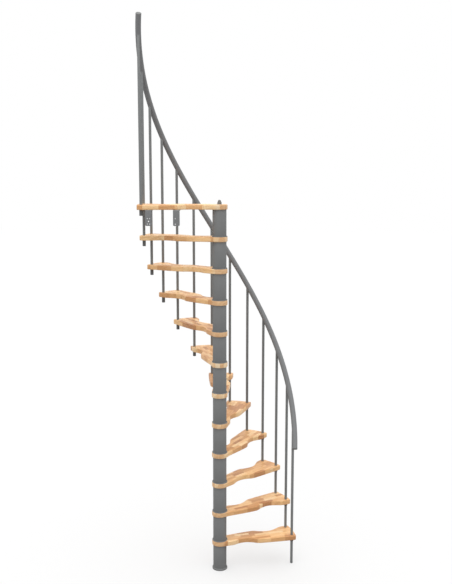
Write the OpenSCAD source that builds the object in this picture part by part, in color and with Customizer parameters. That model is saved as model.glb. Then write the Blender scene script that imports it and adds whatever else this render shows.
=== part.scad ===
// Space-saving spiral stair. Wave-cut wooden treads and steel spacer tubes are threaded on one
// central rod, and thin balusters tie each tread to the next and carry a helical handrail.
// The origin is the column's centre on the lower floor, +Z is up, and the landing tread points
// along -X. The stair climbs anticlockwise seen from above.

/* [Stair] */
// Height from the lower floor to the top of the landing tread
floor_height = 2800; // [2300:10:3400]
// Number of treads, counting the landing tread
tread_count = 12; // [9:1:14]
// Turn from one tread to the next, in degrees
turn_per_tread = 14.72; // [12:0.01:18]
// Radius from the column's centre to the outer ends of the treads
stair_radius = 596; // [540:1:720]

/* [Treads] */
// Thickness of the wood
tread_t = 36; // [30:1:50]
// Wood that stands out round the spacer tubes at the column end
hub_w = 8.2; // [7.5:0.1:16]
// Wood from the middle of a baluster hole to the tread's long edge
hole_margin = 27.6; // [16:0.1:36]
// Radius of the two outer corners
corner_r = 12; // [6:1:24]

/* [Column] */
// Outside diameter of the spacer tubes
tube_d = 101.6; // [76:0.1:122]
// Wall of the spacer tubes
tube_wall = 3; // [2:0.5:5]
// Height of the trim ring on each tread
ring_h = 4; // [3:0.5:20]
// Width of the trim ring, from its bore to its rim
ring_w = 6.5; // [3:0.5:10]
// Diameter of the threaded rod that clamps the stack
rod_d = 20; // [16:1:24]

/* [Base] */
// Thickness of the base plate
base_t = 8; // [6:1:12]
// Height of the rim that locates the first spacer tube
base_rim_h = 15; // [12:1:22]
// Width of that rim
base_rim_w = 6; // [4:0.5:10]
// Diameter of an anchor hole
anchor_d = 10; // [8:0.5:12]
// Wall of the boss round the rod
boss_wall = 8; // [6:0.5:10]
// Height of that boss
boss_h = 25; // [18:1:40]

/* [Nut] */
// Width of the cap nut across its flats
nut_af = 30; // [27:1:36]
// Height of the hexagon
nut_h = 14; // [10:1:18]
// Height of the whole nut, to the top of its dome
nut_total_h = 30; // [27:1:38]

/* [Balusters] */
// Diameter of a baluster
baluster_d = 20; // [14:1:26]
// Distance from the middle of the balusters to the outer ends of the treads
baluster_inset = 31; // [24:1:45]
// How far a baluster and its end cap hang below the tread that it is fixed to
stub_l = 43; // [25:1:60]
// Wall of the end cap round a baluster's foot
cap_wall = 2; // [1.5:0.5:4]
// Wall of the collar under each front hole
collar_wall = 3.2; // [1.5:0.1:6]
// Height of that collar
collar_h = 14; // [8:1:24]
// Thickness of the foot plug between baluster 0 and the floor
foot_plug_t = 5; // [3:0.5:12]

/* [Handrail] */
// Diameter of the handrail
rail_d = 40; // [30:0.1:50]
// Height of the handrail's centre over the tread that a baluster is fixed to
rail_height = 1198; // [1000:1:1300]
// How far the handrail runs below the first baluster, in treads
rail_tail = 0.94; // [0.2:0.01:1.2]
// How far the handrail runs past the last baluster, in treads
rail_lead = 0.47; // [0.2:0.01:1.2]
// Thickness of the plugs in the handrail's ends
plug_t = 5; // [3:0.5:10]

/* [Landing brackets] */
// Distance from the landing tread's outer end to the middle of the outer bracket
bracket_inset = 92; // [60:1:120]
// Distance between the middles of the two brackets
bracket_pitch = 200; // [120:5:240]
// Width of a bracket
bracket_w = 48; // [40:1:60]
// Drop of a bracket's plate below the landing tread
bracket_drop = 114; // [80:1:140]
// Length of the leg under the tread
bracket_leg = 75; // [60:1:90]
// Thickness of the bracket's steel
bracket_t = 5; // [4:0.5:8]
// Diameter of a bracket's middle hole
bracket_mid_hole_d = 9; // [6:0.5:12]
// Diameter of a bracket's four corner holes
bracket_hole_d = 6; // [4:0.5:8]
// Height of the middle hole above the lower end of the bracket's plate
bracket_hole_up = 33; // [28:1:40]
// Sideways distance between the corner holes
bracket_hole_dx = 16; // [14:1:24]
// Upright distance between the corner holes
bracket_hole_dz = 39; // [30:1:44]

/* [Hidden] */
rise = floor_height / tread_count;
tube_r = tube_d / 2;
hub_r = tube_r + hub_w;
rod_r = rod_d / 2;
baluster_r = baluster_d / 2;
rail_r = rail_d / 2;
path_r = stair_radius - baluster_inset;   // radius of the balusters and of the handrail
fit_gap = 0.3;                            // clearance of a bar or tube in its hole
rod_gap = 0.2;                            // clearance of the rod's thread in the nut and base
rail_slope = atan2(rise, path_r * turn_per_tread * PI / 180);

// The tread's outline, for a tread that points along +X. Each side is a smooth curve through
// points [x, distance from the centreline], drawn for a reach of 596 and an end of 100.
drawn_reach = 596;
drawn_end = 100;
waist_side = [[100, 55], [150, 38], [200, 35], [245, 50], [290, 75], [355, 84], [435, 91], [505, 96]];
bulge_side = [[100, 63], [150, 69], [200, 74], [255, 78], [295, 77], [335, 59], [385, 46], [425, 48],
              [460, 62], [490, 79], [515, 92]];
end_half = path_r * sin(turn_per_tread / 2) + hole_margin;
landing_y = end_half;   // the upper floor's edge lies flush with the landing tread's rear edge
corner_y = end_half - corner_r;
corner_x = sqrt(pow(stair_radius - corner_r, 2) - pow(corner_y, 2));
curve_steps = 4;
hub_step = 10;
end_steps = 8;

function two_digits(k) = k < 10 ? str("0", k) : str(k);
function tread_angle(k) = 180 - (tread_count - k) * turn_per_tread;
function baluster_angle(k) = tread_angle(k) + turn_per_tread / 2;

// Point at share t between b and c of a smooth curve through a, b, c and d
function curve(a, b, c, d, t) =
    0.5 * (2 * b + (c - a) * t + (2 * a - 5 * b + 4 * c - d) * t * t
    + (3 * b - a - 3 * c + d) * t * t * t);

function arc(centre, r, from, to, steps) =
    [for (i = [0:steps]) let (a = from + (to - from) * i / steps) centre + r * [cos(a), sin(a)]];

// One long side from the hub to the outer corner, then round that corner
function tread_side(points) =
    let (drawn = [for (p = points) [p.x * stair_radius / drawn_reach, p.y * end_half / drawn_end]],
         knots = concat([[-20, hub_r], [0, hub_r], [50, hub_r - 1]], drawn,
                        [[corner_x, end_half], [corner_x + 20, end_half]]))
    concat([for (i = [1:len(knots) - 3], j = [0:curve_steps - 1])
                curve(knots[i - 1], knots[i], knots[i + 1], knots[i + 2], j / curve_steps)],
           arc([corner_x, corner_y], corner_r, 90, atan2(corner_y, corner_x), 5));

function reversed(points) = [for (i = [len(points) - 1:-1:0]) points[i]];

function tread_outline() =
    let (rear = tread_side(bulge_side),
         front = [for (p = tread_side(waist_side)) [p.x, -p.y]],
         corner = atan2(corner_y, corner_x),
         end = arc([0, 0], stair_radius, corner, -corner, end_steps),
         hub = arc([0, 0], hub_r, -90, -270, 180 / hub_step))
    concat(rear, [for (i = [1:end_steps - 1]) end[i]], reversed(front),
           [for (i = [1:len(hub) - 2]) hub[i]]);

// Tread k, counted from the floor. Every second tread is the mirror image of the one below.
module tread(k) {
    hand = k % 2 == 1 ? 1 : -1;
    color("burlywood")
    translate([0, 0, k * rise - tread_t])
    rotate([0, 0, tread_angle(k)])
    difference() {
        linear_extrude(tread_t) polygon([for (p = tread_outline()) [p.x, hand * p.y]]);
        translate([0, 0, -1]) cylinder(r = rod_r + fit_gap, h = tread_t + 2, $fn = 64);
        for (side = [-1, 1])
            rotate([0, 0, side * turn_per_tread / 2])
            translate([path_r, 0, -1])
            cylinder(r = baluster_r + fit_gap, h = tread_t + 2, $fn = 48);
    }
}

// Spacer tube that carries tread k
module spacer_tube(k) {
    foot = k == 1 ? base_t : (k - 1) * rise;
    color("dimgray")
    translate([0, 0, foot])
    difference() {
        cylinder(r = tube_r, h = k * rise - tread_t - foot, $fn = 96);
        translate([0, 0, -1]) cylinder(r = tube_r - tube_wall, h = rise, $fn = 96);
    }
}

// Trim rings round the foot of each spacer tube that stands on a tread
module column_rings() {
    bore = tube_r + fit_gap;
    chamfer = min(ring_w, ring_h) / 3;
    color("dimgray")
    for (k = [1:tread_count - 1])
        translate([0, 0, k * rise])
        rotate_extrude($fn = 96)
        polygon([[bore, 0], [bore + ring_w, 0], [bore + ring_w, ring_h - chamfer],
                 [bore + ring_w - chamfer, ring_h], [bore, ring_h]]);
}

// Turned plate that the column stands on, with a threaded boss for the rod
module base_plate() {
    bore = tube_r + fit_gap;
    skin = 3;
    boss_r = rod_r + boss_wall;
    anchor_r = (boss_r + tube_r - tube_wall) / 2;
    color("dimgray")
    difference() {
        rotate_extrude($fn = 96)
        polygon([[0, 0], [bore + base_rim_w, 0], [bore + base_rim_w, base_t],
                 [bore + base_rim_w / 4, base_rim_h], [bore, base_rim_h], [bore, base_t],
                 [boss_r, base_t], [boss_r, boss_h],
                 [rod_r + rod_gap, boss_h], [rod_r + rod_gap, skin], [0, skin]]);
        for (a = [45:90:315])
            rotate([0, 0, a])
            translate([anchor_r, 0, -1])
            cylinder(d = anchor_d, h = base_t + 2, $fn = 48);
    }
}

// Threaded rod from the base plate's boss up into the cap nut
module centre_rod() {
    foot = 3;
    reach = 18;
    color("silver")
    translate([0, 0, foot])
    cylinder(r = rod_r, h = floor_height + reach - foot, $fn = 64);
}

// Washer and domed cap nut on the landing tread
module top_nut() {
    washer_t = 3;
    dome_r = nut_af / 2 - 3;
    bore_top = 19;
    dome_side = nut_total_h - dome_r;
    color("dimgray")
    translate([0, 0, floor_height]) {
        difference() {
            cylinder(r = nut_af / 2 + 4, h = washer_t, $fn = 64);
            translate([0, 0, -1]) cylinder(r = rod_r + fit_gap, h = washer_t + 2, $fn = 64);
        }
        translate([0, 0, washer_t])
        difference() {
            union() {
                cylinder(d = nut_af / cos(30), h = nut_h, $fn = 6);
                rotate_extrude($fn = 64)
                polygon(concat([[0, 1]], arc([0, dome_side], dome_r, 0, 90, 10), [[dome_r, 1]]));
            }
            translate([0, 0, -1]) cylinder(r = rod_r + rod_gap, h = bore_top - washer_t + 1, $fn = 64);
        }
    }
}

// Baluster k. It is fixed to tread k, passes through tread k + 1 and ends on the handrail.
// Baluster 0 stands on its foot plug.
module baluster(k) {
    foot = k == 0 ? foot_plug_t : k * rise - tread_t - stub_l + cap_wall;
    top = k * rise + rail_height;
    saddle_l = 6 * rail_d;
    color("dimgray")
    rotate([0, 0, baluster_angle(k)])
    translate([path_r, 0, 0])
    difference() {
        translate([0, 0, foot]) cylinder(r = baluster_r, h = top - foot, $fn = 48);
        translate([0, 0, top])
        rotate([rail_slope - 90, 0, 0])
        cylinder(r = rail_r + fit_gap, h = saddle_l, center = true, $fn = 64);
    }
}

// Cup over the foot of a baluster, closed below
module end_cap() {
    bore = baluster_r + fit_gap / 2;
    rotate_extrude($fn = 48)
    polygon(concat([[0, 0]], arc([bore, cap_wall], cap_wall, -90, 0, 4),
                   [[bore + cap_wall, stub_l], [bore, stub_l], [bore, cap_wall], [0, cap_wall]]));
}

// Plug under baluster 0, on the floor
module foot_plug() {
    chamfer = foot_plug_t / 5;
    rotate_extrude($fn = 48)
    polygon([[0, 0], [baluster_r - chamfer, 0], [baluster_r, chamfer], [baluster_r, foot_plug_t],
             [0, foot_plug_t]]);
}

// Foot plug, end caps at the balusters' feet and collars where they come through the next tread
module baluster_fittings() {
    bore = baluster_r + fit_gap;
    color("dimgray") {
        rotate([0, 0, baluster_angle(0)]) translate([path_r, 0, 0]) foot_plug();
        for (k = [1:tread_count])
            rotate([0, 0, baluster_angle(k)])
            translate([path_r, 0, k * rise - tread_t - stub_l])
            end_cap();
        for (k = [1:tread_count])
            rotate([0, 0, baluster_angle(k - 1)])
            translate([path_r, 0, k * rise - tread_t - collar_h])
            difference() {
                cylinder(r = bore + collar_wall, h = collar_h, $fn = 48);
                translate([0, 0, -1]) cylinder(r = bore, h = collar_h + 2, $fn = 48);
            }
    }
}

// A point of the handrail's skin, at a step counted in treads from baluster 0
function rail_point(step, a) =
    let (turn = baluster_angle(0) + step * turn_per_tread,
         out = [cos(turn), sin(turn), 0],
         up = [sin(turn) * sin(rail_slope), -cos(turn) * sin(rail_slope), cos(rail_slope)])
    path_r * out + [0, 0, step * rise + rail_height] + rail_r * (cos(a) * out + sin(a) * up);

// Round handrail, swept along the helix through the balusters' tops
module handrail() {
    sides = 16;
    per_tread = 6;
    first = -rail_tail;
    last = tread_count + rail_lead;
    rings = round((last - first) * per_tread);
    points = [for (i = [0:rings], j = [0:sides - 1])
                  rail_point(first + (last - first) * i / rings, 360 * j / sides)];
    skin = [for (i = [0:rings - 1], j = [0:sides - 1])
                let (n = (j + 1) % sides)
                [i * sides + j, (i + 1) * sides + j, (i + 1) * sides + n, i * sides + n]];
    low_end = [for (j = [0:sides - 1]) j];
    high_end = [for (j = [sides - 1:-1:0]) rings * sides + j];
    color("gray") polyhedron(points, concat(skin, [low_end], [high_end]), convexity = 8);
}

// Domed plug on one end of the handrail; its flat face lies on the rail's end
module end_plug(step, facing) {
    rim = plug_t / 2;
    rotate([0, 0, baluster_angle(0) + step * turn_per_tread])
    translate([path_r, 0, step * rise + rail_height])
    rotate([rail_slope - 90 + (facing > 0 ? 0 : 180), 0, 0])
    rotate_extrude($fn = 64)
    polygon([[0, 0], [rail_r, 0], [rail_r, rim], [rail_r - rim, plug_t], [0, plug_t]]);
}

module handrail_plugs() {
    color("gray") {
        end_plug(-rail_tail, -1);
        end_plug(tread_count + rail_lead, 1);
    }
}

// L-bracket at distance x along the landing tread, with its plate against the landing's edge
module landing_bracket(x) {
    corner = 9;
    top = floor_height - tread_t;
    half = bracket_w / 2;
    plate = concat(arc([half - corner, corner], corner, 0, -90, 5),
                   arc([corner - half, corner], corner, -90, -180, 5),
                   [[-half, bracket_drop], [half, bracket_drop]]);
    holes = concat([[0, bracket_hole_up, bracket_mid_hole_d]],
                   [for (sx = [-1, 1], sz = [-1, 1])
                        [sx * bracket_hole_dx / 2, bracket_hole_up + sz * bracket_hole_dz / 2,
                         bracket_hole_d]]);
    translate([-x, -landing_y, top - bracket_drop]) {
        difference() {
            translate([0, bracket_t, 0]) rotate([90, 0, 0]) linear_extrude(bracket_t) polygon(plate);
            for (hole = holes)
                translate([hole.x, -1, hole.y])
                rotate([-90, 0, 0])
                cylinder(d = hole.z, h = bracket_t + 2, $fn = 48);
        }
        translate([-half, 0, bracket_drop - bracket_t]) cube([bracket_w, bracket_leg, bracket_t]);
    }
}

module landing_brackets() {
    color("dimgray") {
        landing_bracket(stair_radius - bracket_inset);
        landing_bracket(stair_radius - bracket_inset - bracket_pitch);
    }
}

base_plate();
centre_rod();
for (k = [1:tread_count])
    tread(k);
for (k = [1:tread_count])
    spacer_tube(k);
column_rings();
top_nut();
for (k = [0:tread_count])
    baluster(k);
baluster_fittings();
handrail();
handrail_plugs();
landing_brackets();
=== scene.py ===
import math

import bpy
from mathutils import Matrix, Vector


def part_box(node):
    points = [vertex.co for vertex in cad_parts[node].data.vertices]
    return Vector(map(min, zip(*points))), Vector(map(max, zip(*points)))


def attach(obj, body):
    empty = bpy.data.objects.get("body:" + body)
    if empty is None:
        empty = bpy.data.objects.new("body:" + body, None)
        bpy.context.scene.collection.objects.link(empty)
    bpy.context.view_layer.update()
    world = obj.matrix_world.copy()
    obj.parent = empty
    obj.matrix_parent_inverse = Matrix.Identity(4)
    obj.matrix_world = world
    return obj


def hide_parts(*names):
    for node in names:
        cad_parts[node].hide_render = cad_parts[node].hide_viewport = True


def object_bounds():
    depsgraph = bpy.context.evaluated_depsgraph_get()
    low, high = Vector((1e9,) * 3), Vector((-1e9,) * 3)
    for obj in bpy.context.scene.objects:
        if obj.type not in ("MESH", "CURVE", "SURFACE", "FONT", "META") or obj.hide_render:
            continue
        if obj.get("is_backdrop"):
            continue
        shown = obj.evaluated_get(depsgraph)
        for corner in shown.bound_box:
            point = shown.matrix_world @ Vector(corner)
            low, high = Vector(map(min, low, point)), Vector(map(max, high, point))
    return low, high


# Space-saving spiral stair: wave-cut wooden treads on a grey steel column, with thin balusters
# and a helical handrail. Lengths are in metres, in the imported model's frame.

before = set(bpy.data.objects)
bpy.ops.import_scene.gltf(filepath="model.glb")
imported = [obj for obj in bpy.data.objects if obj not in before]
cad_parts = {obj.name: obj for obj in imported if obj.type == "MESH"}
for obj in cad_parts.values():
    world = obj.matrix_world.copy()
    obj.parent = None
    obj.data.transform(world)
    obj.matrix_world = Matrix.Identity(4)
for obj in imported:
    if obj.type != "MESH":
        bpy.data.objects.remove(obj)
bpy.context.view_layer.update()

MM = 0.001
TREADS = 12


# ---------------------------------------------------------------- sizes read from the frame

def tread_node(k):
    return f"tread_{k:02d}"


def tube_node(k):
    return f"spacer_tube_{k:02d}"


def baluster_node(k):
    return f"baluster_{k:02d}"


def bar_centre(k):
    low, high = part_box(baluster_node(k))
    return (low.x + high.x) / 2, (low.y + high.y) / 2


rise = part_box(tread_node(1))[1].z          # first tread's top over the floor
tread_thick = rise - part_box(tread_node(1))[0].z
tube_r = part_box(tube_node(2))[1].x
hub_r = -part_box(tread_node(1))[0].x         # wooden hub round the column
path_r = math.hypot(*bar_centre(0))         # circle of the balusters and the handrail
first_angle = math.atan2(bar_centre(0)[1], bar_centre(0)[0])
last_angle = 2 * math.pi + math.atan2(bar_centre(TREADS)[1], bar_centre(TREADS)[0])
turn = (last_angle - first_angle) / TREADS  # from one tread to the next
bar_r = (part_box(baluster_node(5))[1].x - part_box(baluster_node(5))[0].x) / 2

RAIL_R = 20 * MM
RAIL_HEIGHT = 1198 * MM      # rail's centre over the tread that a baluster is fixed to
RAIL_TAIL = 0.94             # run of the rail below the first baluster, in treads
RAIL_LEAD = 0.47             # run of the rail past the last baluster, in treads
rail_slope = math.atan2(rise, path_r * turn)


def bar_angle(k):
    return first_angle + k * turn


def tread_angle(k):
    return bar_angle(k) - turn / 2


# ---------------------------------------------------------------- modelling helpers

def activate(piece):
    bpy.ops.object.select_all(action="DESELECT")
    piece.select_set(True)
    bpy.context.view_layer.objects.active = piece


def choose(piece, kind, test):
    """Goes to edit mode with the vertices, edges or faces selected whose points pass test."""
    activate(piece)
    bpy.ops.object.mode_set(mode="EDIT")
    bpy.ops.mesh.select_mode(type=kind)
    bpy.ops.mesh.select_all(action="DESELECT")
    bpy.ops.object.mode_set(mode="OBJECT")
    mesh = piece.data
    if kind == "VERT":
        for v in mesh.vertices:
            v.select = test([v.co])
    else:
        for part in mesh.edges if kind == "EDGE" else mesh.polygons:
            part.select = test([mesh.vertices[i].co for i in part.vertices])
    bpy.ops.object.mode_set(mode="EDIT")


def leave():
    bpy.ops.object.mode_set(mode="OBJECT")


def apply_place(piece):
    activate(piece)
    bpy.ops.object.transform_apply(location=True, rotation=True, scale=True)


def own_copy(name, node):
    """A copy of a CAD node's mesh as a new piece, without the node's stored normals."""
    piece = bpy.data.objects.new(name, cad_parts[node].data.copy())
    bpy.context.scene.collection.objects.link(piece)
    activate(piece)
    bpy.ops.mesh.customdata_custom_splitnormals_clear()
    return piece


def clean(piece):
    """Merges doubles and turns the faces outwards."""
    choose(piece, "VERT", lambda points: True)
    bpy.ops.mesh.remove_doubles(threshold=0.01 * MM)
    bpy.ops.mesh.normals_make_consistent(inside=False)
    leave()


def join_flat_faces(piece):
    """Dissolves the edges between faces that lie in one plane."""
    choose(piece, "FACE", lambda points: True)
    bpy.ops.mesh.dissolve_limited(angle_limit=math.radians(0.5), use_dissolve_boundaries=False)
    leave()


def apply_modifier(piece, kind, **settings):
    activate(piece)
    bpy.ops.object.modifier_add(type=kind)
    modifier = piece.modifiers[-1]
    for key, value in settings.items():
        setattr(modifier, key, value)
    bpy.ops.object.modifier_apply(modifier=modifier.name)


def add_cylinder(name, radius, low, high, sides, fill="NGON", at=(0, 0)):
    bpy.ops.object.select_all(action="DESELECT")
    bpy.ops.mesh.primitive_cylinder_add(
        vertices=sides, radius=radius, depth=high - low, end_fill_type=fill,
        location=(at[0], at[1], (low + high) / 2))
    piece = bpy.context.object
    piece.name = piece.data.name = name
    apply_place(piece)
    return piece


def radius_of(point, at=(0, 0)):
    return math.hypot(point.x - at[0], point.y - at[1])


def near(a, b):
    return abs(a - b) < 0.05 * MM


def on_rim(points, radius, height):
    return all(near(radius_of(p), radius) and near(p.z, height) for p in points)


def bevel(offset, segments):
    bpy.ops.mesh.bevel(offset=offset, segments=segments, profile=0.5, affect="EDGES",
                       clamp_overlap=True)


def copies(piece, moves, name):
    """Joins one copy of the piece for each move into a new piece of that name."""
    made = []
    for move in moves:
        copy = bpy.data.objects.new(name, piece.data.copy())
        bpy.context.scene.collection.objects.link(copy)
        copy.data.transform(move)
        made.append(copy)
    bpy.ops.object.select_all(action="DESELECT")
    for copy in made:
        copy.select_set(True)
    bpy.context.view_layer.objects.active = made[0]
    if len(made) > 1:
        bpy.ops.object.join()
    made[0].name = made[0].data.name = name
    return made[0]


def remove(*pieces):
    for piece in pieces:
        bpy.data.objects.remove(piece)


def finish_piece(piece, material, slot, *nodes, angle=40):
    """Smooths the piece up to that angle, gives it its material and ties it to the frame."""
    activate(piece)
    bpy.ops.object.shade_smooth_by_angle(angle=math.radians(angle))
    piece.data.materials.clear()
    piece.data.materials.append(material)
    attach(piece, "root")
    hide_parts(*nodes)


# ---------------------------------------------------------------- materials

WAVE_TURN = 20           # radians that a wave texture runs through in one unit at a scale of 1


def linear(text):
    """An sRGB hex colour as a linear RGBA."""
    def channel(c):
        return c / 12.92 if c <= 0.04045 else ((c + 0.055) / 1.055) ** 2.4
    return tuple(channel(int(text[i:i + 2], 16) / 255) for i in (1, 3, 5)) + (1.0,)


def add_node(tree, kind, settings=None, **inputs):
    """Adds a node. Inputs are named with _ for a space, or in_0, in_1 ... by number; each is a
    value or the output socket that it is linked from."""
    node = tree.nodes.new(kind)
    for key, value in (settings or {}).items():
        setattr(node, key, value)
    for key, value in inputs.items():
        place = int(key[3:]) if key.startswith("in_") else key.replace("_", " ")
        socket = node.inputs[place]
        if isinstance(value, bpy.types.NodeSocket):
            tree.links.new(value, socket)
        else:
            socket.default_value = value
    return node


def new_material(name):
    """A new material with only its output; returns it and its tree."""
    material = bpy.data.materials.new(name)
    material.use_nodes = True
    material.node_tree.nodes.clear()
    return material, material.node_tree


def finish_material(tree, shader):
    add_node(tree, "ShaderNodeOutputMaterial", Surface=shader.outputs[0])


def powder_coat(name, colour, roughness):
    """Polyester powder coat on steel, matt, fine texture. The eye sees an even grey with hardly
    any sheen and the faintest clouds, broken by a very slight orange peel of about 2 mm and a
    finer grain of 0.6 mm."""
    material, tree = new_material(name)
    place = add_node(tree, "ShaderNodeTexCoord").outputs["Object"]
    peel = add_node(tree, "ShaderNodeTexNoise", Vector=place, Scale=1 / (2 * MM), Detail=1.0)
    grit = add_node(tree, "ShaderNodeTexNoise", Vector=place, Scale=1 / (0.6 * MM), Detail=2.0)
    cloud = add_node(tree, "ShaderNodeTexNoise", Vector=place, Scale=1 / (90 * MM), Detail=2.0)
    tone = add_node(tree, "ShaderNodeMapRange", in_0=cloud.outputs["Fac"], in_1=0.3, in_2=0.7,
                    in_3=0.0, in_4=1.0)
    dark = linear(colour)
    light = tuple(min(1.0, c * 1.06) for c in dark[:3]) + (1.0,)
    paint = add_node(tree, "ShaderNodeMix", {"data_type": "RGBA"}, in_0=tone.outputs[0],
                     in_6=dark, in_7=light)
    shine = add_node(tree, "ShaderNodeMapRange", in_0=grit.outputs["Fac"], in_1=0.2, in_2=0.8,
                     in_3=roughness - 0.05, in_4=roughness + 0.07)
    height = add_node(tree, "ShaderNodeMix", {"data_type": "FLOAT"}, in_0=0.35,
                      in_2=peel.outputs["Fac"], in_3=grit.outputs["Fac"])
    bump = add_node(tree, "ShaderNodeBump", Strength=0.25, Distance=0.1 * MM,
                    Height=height.outputs[0])
    shader = add_node(tree, "ShaderNodeBsdfPrincipled", Base_Color=paint.outputs[2],
                      Roughness=shine.outputs[0], IOR=1.5, Specular_IOR_Level=0.2,
                      Normal=bump.outputs[0])
    finish_material(tree, shader)
    return material


STAVE = 30 * MM          # width of a stave
BLOCK = 115 * MM         # length of a block between two finger joints
BLOCK_SHIFT = 5.0        # most that a stave's joints are moved along it, in blocks
FINGER = 3.8 * MM        # pitch of the fingers
FINGER_L = 9 * MM        # their length
TREAD_SEED = 9.71        # gives each tread its own blocks
TREAD_SHIFT = 0.37       # and its own place for the glue lines, in staves
GRAIN_SQUEEZE = 0.06     # along the tread, so that the grain runs that way
RING_RADIAN = 5 * MM     # a radian of the growth rings, which are about 31 mm apart
HUB_DARKEST = 0.4        # the lowest place on the wood's ramp of tones that the hub shows
HUB_TINT = (0.98, 1.08, 1.28, 1)


def rubberwood():
    """Rubberwood, finger-jointed and edge-glued into staves, sanded and clear varnished. The eye
    sees pale honey and pinkish tan blocks side by side, each with fine straight grain along the
    tread, short dark pores, and zigzag joints. The mesh's stave_place attribute gives the place
    along, across and up the tread, with the tread's number in its own attribute."""
    material, tree = new_material("rubberwood_varnished")
    place = add_node(tree, "ShaderNodeAttribute", {"attribute_name": "stave_place"})
    number = add_node(tree, "ShaderNodeAttribute", {"attribute_name": "tread_number"})
    xyz = add_node(tree, "ShaderNodeSeparateXYZ", in_0=place.outputs["Vector"])

    def sum_up(operation, *values):
        return add_node(tree, "ShaderNodeMath", {"operation": operation},
                        **{f"in_{i}": v for i, v in enumerate(values)}).outputs[0]

    seed = sum_up("MULTIPLY", number.outputs["Fac"], TREAD_SEED)
    across = sum_up("ADD", sum_up("DIVIDE", xyz.outputs[1], STAVE),
                    sum_up("MULTIPLY", number.outputs["Fac"], TREAD_SHIFT))
    stave = sum_up("FLOOR", across)
    stave_key = add_node(tree, "ShaderNodeCombineXYZ", in_0=stave, in_1=seed, in_2=0.0)
    shift = add_node(tree, "ShaderNodeTexWhiteNoise", Vector=stave_key.outputs[0])
    zigzag = sum_up("MULTIPLY", sum_up("PINGPONG", xyz.outputs[1], FINGER / 2),
                    2 * FINGER_L / FINGER)
    along = sum_up("ADD", sum_up("DIVIDE", sum_up("ADD", xyz.outputs[0], zigzag), BLOCK),
                   sum_up("MULTIPLY", shift.outputs["Value"], BLOCK_SHIFT))
    block = sum_up("FLOOR", along)
    block_key = add_node(tree, "ShaderNodeCombineXYZ", in_0=stave, in_1=seed, in_2=block)
    random = add_node(tree, "ShaderNodeTexWhiteNoise", Vector=block_key.outputs[0])

    # each block has its own piece of grain
    own = add_node(tree, "ShaderNodeVectorMath", {"operation": "SCALE"},
                   in_0=random.outputs["Color"], Scale=0.4)
    moved = add_node(tree, "ShaderNodeVectorMath", {"operation": "ADD"},
                     in_0=place.outputs["Vector"], in_1=own.outputs[0])
    stretched = add_node(tree, "ShaderNodeMapping", in_0=moved.outputs[0],
                         Scale=(GRAIN_SQUEEZE, 1.0, 1.0))
    streaks = add_node(tree, "ShaderNodeTexNoise", Vector=stretched.outputs[0],
                       Scale=1 / (6 * MM), Detail=4.0, Roughness=0.6)
    rings = add_node(tree, "ShaderNodeTexWave", {"wave_type": "RINGS", "rings_direction": "X"},
                     Vector=stretched.outputs[0], Scale=1 / (WAVE_TURN * RING_RADIAN),
                     Distortion=6.0, Detail=2.0, Detail_Scale=1.6)
    pores = add_node(tree, "ShaderNodeTexNoise", Vector=stretched.outputs[0],
                     Scale=1 / (0.9 * MM), Detail=2.0, Roughness=0.7)

    # the hub's turned face is paler and less yellow
    radius = add_node(tree, "ShaderNodeVectorMath", {"operation": "LENGTH"}, in_0=add_node(
        tree, "ShaderNodeCombineXYZ", in_0=xyz.outputs[0], in_1=xyz.outputs[1],
        in_2=0.0).outputs[0])
    hub = add_node(tree, "ShaderNodeMapRange", in_0=radius.outputs["Value"],
                   in_1=hub_r + 1 * MM, in_2=hub_r + 8 * MM, in_3=1.0, in_4=0.0)
    value = sum_up("MAXIMUM", random.outputs["Value"],
                   sum_up("MULTIPLY", hub.outputs[0], HUB_DARKEST))
    tones = add_node(tree, "ShaderNodeValToRGB", in_0=value)
    stops = tones.color_ramp.elements
    stops[0].position, stops[0].color = 0.0, linear("#BC8356")
    stops[1].position, stops[1].color = 1.0, linear("#FBDDAF")
    for position, colour in ((0.2, "#D6A06B"), (0.5, "#EDBC85"), (0.8, "#F9CE96")):
        stops.new(position).color = linear(colour)

    def darken(colour, factor, shade):
        return add_node(tree, "ShaderNodeMix", {"data_type": "RGBA", "blend_type": "MULTIPLY"},
                        in_0=factor, in_6=colour, in_7=linear(shade)).outputs[2]

    streak = add_node(tree, "ShaderNodeMapRange", in_0=streaks.outputs["Fac"], in_1=0.45, in_2=0.75,
                      in_3=0.0, in_4=0.6)
    colour = darken(tones.outputs[0], streak.outputs[0], "#DCC4A6")
    ring = add_node(tree, "ShaderNodeMapRange", in_0=rings.outputs["Fac"], in_1=0.4, in_2=1.0,
                    in_3=0.0, in_4=0.3)
    colour = darken(colour, ring.outputs[0], "#DFC6A8")
    pore = add_node(tree, "ShaderNodeMapRange", in_0=pores.outputs["Fac"], in_1=0.62, in_2=0.74,
                    in_3=0.0, in_4=0.5)
    colour = darken(colour, pore.outputs[0], "#C09E7A")
    colour = add_node(tree, "ShaderNodeMix", {"data_type": "RGBA", "blend_type": "MULTIPLY"},
                      in_0=hub.outputs[0], in_6=colour, in_7=HUB_TINT).outputs[2]
    # glue lines between staves
    edge = sum_up("ABSOLUTE", sum_up("SUBTRACT", sum_up("FRACT", across), 0.5))
    glue = add_node(tree, "ShaderNodeMapRange", in_0=edge, in_1=0.488, in_2=0.5, in_3=0.0,
                    in_4=0.25)
    colour = darken(colour, glue.outputs[0], "#B08458")

    shine = add_node(tree, "ShaderNodeMapRange", in_0=streaks.outputs["Fac"], in_1=0.3, in_2=0.7,
                     in_3=0.38, in_4=0.48)
    bump = add_node(tree, "ShaderNodeBump", {"invert": True}, Strength=0.3, Distance=0.08 * MM,
                    Height=pore.outputs[0])
    shader = add_node(tree, "ShaderNodeBsdfPrincipled", Base_Color=colour,
                      Roughness=shine.outputs[0], IOR=1.45, Specular_IOR_Level=0.5,
                      Normal=bump.outputs[0])
    finish_material(tree, shader)
    return material


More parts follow.
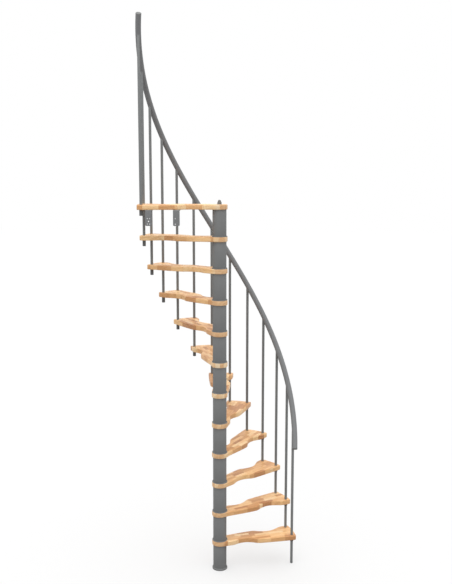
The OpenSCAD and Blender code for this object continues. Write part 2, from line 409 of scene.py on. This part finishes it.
def moulded_plastic(name, colour):
    """Moulded polyethylene plug, matt: a soft dark grey with a faint spark-eroded grain."""
    material, tree = new_material(name)
    place = add_node(tree, "ShaderNodeTexCoord").outputs["Object"]
    grain = add_node(tree, "ShaderNodeTexNoise", Vector=place, Scale=1 / (0.8 * MM), Detail=3.0)
    dark = linear(colour)
    light = tuple(c * 1.12 for c in dark[:3]) + (1.0,)
    tone = add_node(tree, "ShaderNodeMix", {"data_type": "RGBA"}, in_0=grain.outputs["Fac"],
                    in_6=dark, in_7=light)
    bump = add_node(tree, "ShaderNodeBump", Strength=0.2, Distance=0.08 * MM,
                    Height=grain.outputs["Fac"])
    shader = add_node(tree, "ShaderNodeBsdfPrincipled", Base_Color=tone.outputs[2],
                      Roughness=0.6, IOR=1.5, Normal=bump.outputs[0])
    finish_material(tree, shader)
    return material


THREAD_RADIAN = 2.5 * MM     # a radian of the thread's grooves


def zinc_plated_steel(name):
    """Bright zinc-plated threaded rod: silver metal with grooves that run round it. They are
    drawn about 16 mm apart, because a real thread of 2.5 mm is too fine to show."""
    material, tree = new_material(name)
    place = add_node(tree, "ShaderNodeTexCoord").outputs["Object"]
    thread = add_node(tree, "ShaderNodeTexWave", {"bands_direction": "Z"}, Vector=place,
                      Scale=1 / (WAVE_TURN * THREAD_RADIAN), Distortion=0.0)
    cloud = add_node(tree, "ShaderNodeTexNoise", Vector=place, Scale=1 / (8 * MM), Detail=3.0)
    tone = add_node(tree, "ShaderNodeMix", {"data_type": "RGBA"}, in_0=cloud.outputs["Fac"],
                    in_6=linear("#B9BABB"), in_7=linear("#CDCFD0"))
    bump = add_node(tree, "ShaderNodeBump", Strength=0.6, Distance=0.6 * MM,
                    Height=thread.outputs["Fac"])
    shader = add_node(tree, "ShaderNodeBsdfPrincipled", Base_Color=tone.outputs[2], Metallic=1.0,
                      Roughness=0.35, Normal=bump.outputs[0])
    finish_material(tree, shader)
    return material


column_coat = powder_coat("column_coat_grey", "#7D7E7E", 0.7)
baluster_coat = powder_coat("baluster_coat_grey", "#7C7E7E", 0.7)
fitting_coat = powder_coat("fitting_coat_grey", "#646464", 0.7)
rail_coat = powder_coat("rail_coat_grey", "#7D7E7F", 0.68)
bracket_coat = powder_coat("bracket_coat_grey", "#7D7E7F", 0.7)
nut_coat = powder_coat("nut_coat_grey", "#767777", 0.6)
plug_plastic = moulded_plastic("plug_plastic_grey", "#626362")
rod_steel = zinc_plated_steel("rod_zinc_plated")
wood = rubberwood()


# ---------------------------------------------------------------- treads

EDGE_ROUND = 5 * MM
EDGE_STEPS = 4
HOLE_MARGIN = 2 * MM     # a hole's edge lies less than this outside its bar
bar_places = [(path_r * math.cos(turn / 2), side * path_r * math.sin(turn / 2))
              for side in (-1, 1)]


def in_hole(point):
    """Whether a point of an unturned tread is on the column's hole or on a baluster's."""
    return (radius_of(point) < hub_r / 2
            or any(radius_of(point, place) < bar_r + HOLE_MARGIN for place in bar_places))


def choose_outline(board):
    """Goes to edit mode with the edges where the board's upright sides meet its top and its
    underside selected, without those of its holes."""
    mesh = board.data
    upright = {key for face in mesh.polygons if abs(face.normal.z) < 0.5
               for key in face.edge_keys}
    outline = set()
    for e in mesh.edges:
        ends = [mesh.vertices[i].co for i in e.vertices]
        if e.key in upright and near(ends[0].z, ends[1].z) and not any(map(in_hole, ends)):
            outline.add(e.index)
    choose(board, "EDGE", lambda points: False)
    leave()
    for e in mesh.edges:
        e.select = e.index in outline
    bpy.ops.object.mode_set(mode="EDIT")


for k in range(1, TREADS + 1):
    board = own_copy(f"wave_tread_{k:02d}", tread_node(k))
    board.data.transform(Matrix.Rotation(-tread_angle(k), 4, "Z"))
    clean(board)
    join_flat_faces(board)
    choose_outline(board)
    bevel(EDGE_ROUND, EDGE_STEPS)
    leave()

    # place along, across and up the tread for the wood's pattern
    points = [v.co.copy() for v in board.data.vertices]
    place = board.data.attributes.new("stave_place", "FLOAT_VECTOR", "POINT")
    place.data.foreach_set("vector", [c for p in points for c in (p.x, p.y, p.z - k * rise)])
    number = board.data.attributes.new("tread_number", "FLOAT", "POINT")
    number.data.foreach_set("value", [k] * len(points))
    board.data.transform(Matrix.Rotation(tread_angle(k), 4, "Z"))
    finish_piece(board, wood, "tread_wood", tread_node(k), angle=45)


# ---------------------------------------------------------------- column

TUBE_WALL = 3 * MM
TUBE_ROUND = 0.7 * MM
TUBE_SIDES = 96

# the lowest tube is shorter; the other eleven are alike
for k, alike in ((1, [1]), (2, range(2, TREADS + 1))):
    low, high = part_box(tube_node(k))
    pattern = add_cylinder(f"pattern_tube_{k}", tube_r, low.z, high.z, TUBE_SIDES, "NOTHING")
    apply_modifier(pattern, "SOLIDIFY", thickness=TUBE_WALL, offset=-1.0)
    choose(pattern, "EDGE", lambda points: on_rim(points, tube_r, low.z)
           or on_rim(points, tube_r, high.z))
    bevel(TUBE_ROUND, 2)
    leave()
    for j in alike:
        rise_to = Matrix.Translation((0, 0, (j - k) * rise))
        tube = copies(pattern, [rise_to], f"column_tube_{j:02d}")
        finish_piece(tube, column_coat, "column_coat", tube_node(j))
    remove(pattern)

# trim rings
RING_CLEAR = 0.3 * MM
RING_ROUND = 1.3 * MM
ring_bore = tube_r + RING_CLEAR
ring_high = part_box("column_rings")[1]
ring_r = ring_high.x
ring_top = ring_high.z - (TREADS - 1) * rise
pattern = add_cylinder("pattern_ring", ring_r, rise, rise + ring_top, TUBE_SIDES, "NOTHING")
apply_modifier(pattern, "SOLIDIFY", thickness=ring_r - ring_bore, offset=-1.0)
choose(pattern, "EDGE", lambda points: on_rim(points, ring_r, rise + ring_top))
bevel(RING_ROUND, 3)
leave()
rings = copies(pattern, [Matrix.Translation((0, 0, k * rise)) for k in range(TREADS - 1)],
               "trim_rings")
remove(pattern)
finish_piece(rings, column_coat, "column_coat", "column_rings")

# base plate: disc, locating rim, boss for the rod and anchor holes
base_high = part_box("base_plate")[1]
BASE_T = 8 * MM
RIM_TOP = 15 * MM
BOSS_R = 18 * MM
ROD_HOLE_R = 10.2 * MM
SKIN = 3 * MM            # steel left under the rod's hole
ANCHOR_R = 5 * MM
RIM_ROUND = 4.2 * MM
FOOT_ROUND = 0.8 * MM
base_r = base_high.x
base = add_cylinder("base_plate_turned", base_r, 0, BASE_T, TUBE_SIDES)


def top_face(height, inside):
    """A test for the many-sided face at that height."""
    return lambda points: (all(near(p.z, height) for p in points)
                           and max(radius_of(p) for p in points) < inside
                           and len(points) > 4)


choose(base, "FACE", top_face(BASE_T, base_r + MM))
bpy.ops.mesh.inset(thickness=base_r - ring_bore, depth=0)
bpy.ops.mesh.inset(thickness=ring_bore - BOSS_R, depth=0)
bpy.ops.mesh.extrude_region_move(TRANSFORM_OT_translate={"value": (0, 0, base_high.z - BASE_T)})
bpy.ops.mesh.inset(thickness=BOSS_R - ROD_HOLE_R, depth=0)
bpy.ops.mesh.extrude_region_move(TRANSFORM_OT_translate={"value": (0, 0, SKIN - base_high.z)})
leave()
choose(base, "FACE", lambda points: len(points) == 4 and all(
    near(p.z, BASE_T) and radius_of(p) > ring_bore - MM for p in points))
bpy.ops.mesh.extrude_region_move(TRANSFORM_OT_translate={"value": (0, 0, RIM_TOP - BASE_T)})
leave()
choose(base, "EDGE", lambda points: on_rim(points, base_r, RIM_TOP))
bevel(RIM_ROUND, 4)
leave()
choose(base, "EDGE", lambda points: on_rim(points, base_r, 0))
bevel(FOOT_ROUND, 2)
leave()
anchor_circle = (BOSS_R + tube_r - TUBE_WALL) / 2
for quarter in range(4):
    a = math.radians(45 + 90 * quarter)
    drill = add_cylinder("drill", ANCHOR_R, -MM, BASE_T + MM, 32,
                         at=(anchor_circle * math.cos(a), anchor_circle * math.sin(a)))
    apply_modifier(base, "BOOLEAN", object=drill, operation="DIFFERENCE", solver="EXACT")
    remove(drill)
finish_piece(base, column_coat, "column_coat", "base_plate")

# washer and domed cap nut
floor_height = TREADS * rise
NUT_AF = 30 * MM
NUT_H = 14 * MM
CORNER_OUT = 2.4 * MM    # reach past the flats of the cone that trims the hexagon's corners
CORNER_CUT = 4.4 * MM    # width of that cone's slope
WASHER_T = 3 * MM
WASHER_ROUND = 0.6 * MM
DOME_R = 12 * MM
DOME_FLAT_R = 0.4 * MM
nut_low = floor_height + WASHER_T
nut_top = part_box("top_nut")[1].z
washer_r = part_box("top_nut")[1].x
washer = add_cylinder("washer", washer_r, floor_height, nut_low, 64)
choose(washer, "EDGE", lambda points: on_rim(points, washer_r, nut_low))
bevel(WASHER_ROUND, 2)
leave()
nut = add_cylinder("cap_nut", NUT_AF / 2 / math.cos(math.pi / 6), nut_low, nut_low + NUT_H, 6)
corner_r = NUT_AF / 2 + CORNER_OUT
corner_cone = add_cylinder("corner_cone", corner_r, nut_low - MM, nut_low + NUT_H, 64)
choose(corner_cone, "EDGE", lambda points: on_rim(points, corner_r, nut_low + NUT_H))
bpy.ops.mesh.bevel(offset_type="WIDTH", offset=CORNER_CUT, segments=1, affect="EDGES")
leave()
apply_modifier(nut, "BOOLEAN", object=corner_cone, operation="INTERSECT", solver="EXACT")
dome = add_cylinder("dome", DOME_R, nut_low + MM, nut_top, 48)
choose(dome, "EDGE", lambda points: on_rim(points, DOME_R, nut_top))
bevel(DOME_R - DOME_FLAT_R, 10)
leave()
apply_modifier(nut, "BOOLEAN", object=dome, operation="UNION", solver="EXACT")
bpy.ops.object.select_all(action="DESELECT")
washer.select_set(True)
nut.select_set(True)
bpy.context.view_layer.objects.active = nut
bpy.ops.object.join()
remove(corner_cone, dome)
finish_piece(nut, nut_coat, "nut_coat", "top_nut", angle=35)

# the rod stays the CAD solid
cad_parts["centre_rod"].data.materials[0] = rod_steel


# ---------------------------------------------------------------- balusters

BAR_SIDES = 40


def along_rail(step):
    """Place and direction of the rail's centreline, at a step counted in treads."""
    a = first_angle + step * turn
    point = Vector((path_r * math.cos(a), path_r * math.sin(a), step * rise + RAIL_HEIGHT))
    flat = math.cos(rail_slope)
    return point, Vector((-math.sin(a) * flat, math.cos(a) * flat, math.sin(rail_slope)))


def facing(point, direction):
    """Moves the origin to the point and turns +Z to the direction."""
    return (Matrix.Translation(point)
            @ direction.to_track_quat("Z", "Y").to_matrix().to_4x4())


for k in range(TREADS + 1):
    point, direction = along_rail(k)
    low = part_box(baluster_node(k))[0].z
    bar = add_cylinder(f"baluster_bar_{k:02d}", bar_r, low, point.z, BAR_SIDES,
                       at=(point.x, point.y))
    # the rail's round shape is cut from the bar's upper end
    bpy.ops.object.select_all(action="DESELECT")
    bpy.ops.mesh.primitive_cylinder_add(vertices=64, radius=RAIL_R, depth=8 * RAIL_R,
                                        location=point)
    rail_form = bpy.context.object
    rail_form.matrix_world = facing(point, direction)
    bpy.context.view_layer.update()
    apply_modifier(bar, "BOOLEAN", object=rail_form, operation="DIFFERENCE", solver="EXACT")
    remove(rail_form)
    finish_piece(bar, baluster_coat, "baluster_coat", baluster_node(k))

# end caps and collars
CAP_H = 43 * MM
CAP_WALL = 2 * MM
CAP_CLEAR = 0.15 * MM
CAP_LIP_ROUND = 0.6 * MM
COLLAR_H = 14 * MM
COLLAR_WALL = 3.2 * MM
COLLAR_CLEAR = 0.3 * MM
COLLAR_ROUND = 0.9 * MM
FITTING_SIDES = 48
cap_r = bar_r + CAP_WALL + CAP_CLEAR
cap = add_cylinder("pattern_cap", cap_r, 0, CAP_H, FITTING_SIDES)
choose(cap, "FACE", top_face(CAP_H, cap_r + MM))
bpy.ops.mesh.inset(thickness=CAP_WALL, depth=0)
bpy.ops.mesh.extrude_region_move(TRANSFORM_OT_translate={"value": (0, 0, CAP_WALL - CAP_H)})
leave()
choose(cap, "EDGE", lambda points: on_rim(points, cap_r, 0))
bevel(CAP_WALL, 4)
leave()
choose(cap, "EDGE", lambda points: on_rim(points, cap_r, CAP_H))
bevel(CAP_LIP_ROUND, 2)
leave()
collar_r = bar_r + COLLAR_CLEAR + COLLAR_WALL
collar = add_cylinder("pattern_collar", collar_r, 0, COLLAR_H, FITTING_SIDES, "NOTHING")
apply_modifier(collar, "SOLIDIFY", thickness=COLLAR_WALL, offset=-1.0)
choose(collar, "EDGE", lambda points: on_rim(points, collar_r, 0))
bevel(COLLAR_ROUND, 3)
leave()


def at_bar(k, height):
    """Moves the origin to a bar's axis at that height."""
    return Matrix.Translation((path_r * math.cos(bar_angle(k)), path_r * math.sin(bar_angle(k)),
                               height))


caps = copies(cap, [at_bar(k, k * rise - tread_thick - CAP_H) for k in range(1, TREADS + 1)],
              "baluster_end_caps")
collars = copies(collar, [at_bar(k - 1, k * rise - tread_thick - COLLAR_H)
                          for k in range(1, TREADS + 1)], "baluster_collars")
remove(cap, collar)
finish_piece(caps, fitting_coat, "fitting_coat", "baluster_fittings")
finish_piece(collars, fitting_coat, "fitting_coat", "baluster_fittings")

# foot plug under the lowest baluster
FOOT_PLUG_ROUND = 1 * MM
foot_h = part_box(baluster_node(0))[0].z
foot = add_cylinder("baluster_foot_plug", bar_r, 0, foot_h, FITTING_SIDES,
                    at=(path_r * math.cos(bar_angle(0)), path_r * math.sin(bar_angle(0))))
choose(foot, "EDGE", lambda points: all(near(p.z, 0) for p in points))
bevel(FOOT_PLUG_ROUND, 3)
leave()
finish_piece(foot, fitting_coat, "fitting_coat", "baluster_fittings")


# ---------------------------------------------------------------- handrail

RAIL_SIDES = 32
RAIL_STEPS = 160
rail_turns = RAIL_TAIL + TREADS + RAIL_LEAD
start, direction = along_rail(-RAIL_TAIL)
bpy.ops.object.select_all(action="DESELECT")
bpy.ops.mesh.primitive_circle_add(vertices=RAIL_SIDES, radius=RAIL_R, fill_type="NOTHING")
rail = bpy.context.object
rail.name = rail.data.name = "handrail_tube"
rail.matrix_world = facing(start, direction)
apply_place(rail)
apply_modifier(rail, "SCREW", axis="Z", angle=rail_turns * turn, screw_offset=rail_turns * rise,
               steps=RAIL_STEPS, render_steps=RAIL_STEPS, use_smooth_shade=True)
activate(rail)
bpy.ops.object.mode_set(mode="EDIT")
bpy.ops.mesh.select_mode(type="EDGE")
bpy.ops.mesh.select_all(action="DESELECT")
bpy.ops.mesh.select_non_manifold()
bpy.ops.mesh.fill_holes(sides=0)
leave()
clean(rail)
finish_piece(rail, rail_coat, "rail_coat", "handrail")

# plugs in its ends
PLUG_T = 5 * MM
PLUG_ROUND = 2.5 * MM
plug = add_cylinder("pattern_plug", RAIL_R, 0, PLUG_T, RAIL_SIDES * 2)
choose(plug, "EDGE", lambda points: on_rim(points, RAIL_R, PLUG_T))
bevel(PLUG_ROUND, 5)
leave()
high_end, high_way = along_rail(TREADS + RAIL_LEAD)
low_end, low_way = along_rail(-RAIL_TAIL)
plugs = copies(plug, [facing(high_end, high_way), facing(low_end, -low_way)],
               "handrail_end_plugs")
remove(plug)
finish_piece(plugs, plug_plastic, "plug_plastic", "handrail_plugs")


# ---------------------------------------------------------------- landing brackets

BRACKET_T = 5 * MM
BEND_INSIDE_R = 2 * MM
BEND_OUTSIDE_R = 6.5 * MM
brackets = own_copy("landing_bracket_plates", "landing_brackets")
clean(brackets)
join_flat_faces(brackets)
bracket_low, bracket_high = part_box("landing_brackets")


def along_bend(points, y, z):
    """Whether an edge runs along X at that Y and Z."""
    return all(near(p.y, y) and near(p.z, z) for p in points)


choose(brackets, "EDGE", lambda points: along_bend(points, bracket_low.y + BRACKET_T,
                                                   bracket_high.z - BRACKET_T))
bevel(BEND_INSIDE_R, 3)
leave()
choose(brackets, "EDGE", lambda points: along_bend(points, bracket_low.y, bracket_high.z))
bevel(BEND_OUTSIDE_R, 6)
leave()
finish_piece(brackets, bracket_coat, "bracket_coat", "landing_brackets", angle=30)


# ---------------------------------------------------------------- floor, light and camera

FLOOR_GREY = 0.28        # how much light the floor gives back
FLOOR_LIFT = 0.597       # added where it is seen directly, so that the open floor is white
SUN_LIGHT = 1.44
SUN_DISC = 80            # degrees that the overhead light fills
PANEL_WATTS = 9
PANEL_SIZE = 1.4
IMAGE_HEIGHT = 584


def seen_directly(tree):
    """1 on rays that come from the camera, a reflection or a see-through surface, else 0."""
    rays = add_node(tree, "ShaderNodeLightPath")
    seen = add_node(tree, "ShaderNodeMath", {"operation": "MAXIMUM"},
                    in_0=rays.outputs["Is Camera Ray"], in_1=rays.outputs["Is Glossy Ray"])
    return add_node(tree, "ShaderNodeMath", {"operation": "MAXIMUM"},
                    in_0=seen.outputs[0], in_1=rays.outputs["Is Transmission Ray"]).outputs[0]


def place_light(name, kind, energy, towards, location=(0, 0, 0)):
    """Adds a lamp that shines from the direction towards; returns its data."""
    lamp = bpy.data.lights.new(name, kind)
    lamp.energy = energy
    holder = bpy.data.objects.new(name, lamp)
    bpy.context.scene.collection.objects.link(holder)
    holder.location = location
    holder.rotation_euler = Vector(towards).to_track_quat("Z", "Y").to_euler()
    return lamp


bpy.ops.object.select_all(action="DESELECT")
bpy.ops.mesh.primitive_plane_add(size=60, location=(0, 0, 0))
floor = bpy.context.object
floor.name = "floor"
paper, tree = new_material("floor_white")
lift = add_node(tree, "ShaderNodeMath", {"operation": "MULTIPLY"}, in_0=seen_directly(tree),
                in_1=FLOOR_LIFT)
matt = add_node(tree, "ShaderNodeBsdfDiffuse", Color=(FLOOR_GREY, FLOOR_GREY, FLOOR_GREY, 1),
                Roughness=0.0)
glow = add_node(tree, "ShaderNodeEmission", Color=(1, 1, 1, 1), Strength=lift.outputs[0])
finish_material(tree, add_node(tree, "ShaderNodeAddShader", in_0=matt.outputs[0],
                               in_1=glow.outputs[0]))
floor.data.materials.append(paper)
floor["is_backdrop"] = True

world = bpy.data.worlds.new("studio")
bpy.context.scene.world = world
world.use_nodes = True
tree = world.node_tree
tree.nodes.clear()
sky = add_node(tree, "ShaderNodeBackground", Color=(1, 1, 1, 1), Strength=1.0)
add_node(tree, "ShaderNodeOutputWorld", Surface=sky.outputs[0])

# one very large soft light, straight overhead
overhead = place_light("overhead_light", "SUN", SUN_LIGHT, (0.0, 0.05, 1))
overhead.angle = math.radians(SUN_DISC)

# a soft panel above the landing, in front: the steel and the treads get paler towards the top
panel = place_light("landing_panel", "AREA", PANEL_WATTS, (-0.1, -0.95, 1.2),
                    location=(-0.6, -0.95, 4.75))
panel.shape = "DISK"
panel.size = PANEL_SIZE

camera = bpy.data.cameras.new("camera")
camera.sensor_width = 36
camera.lens = 52.73
camera.shift_y = 0.5 / IMAGE_HEIGHT
view = bpy.data.objects.new("camera", camera)
bpy.context.scene.collection.objects.link(view)
view.location = (0.2953, -6.1951, 3.1415)
view.rotation_euler = (math.radians(80.965), 0, math.radians(2.293))
bpy.context.scene.camera = view
bpy.context.scene.view_settings.view_transform = "Standard"

low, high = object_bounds()
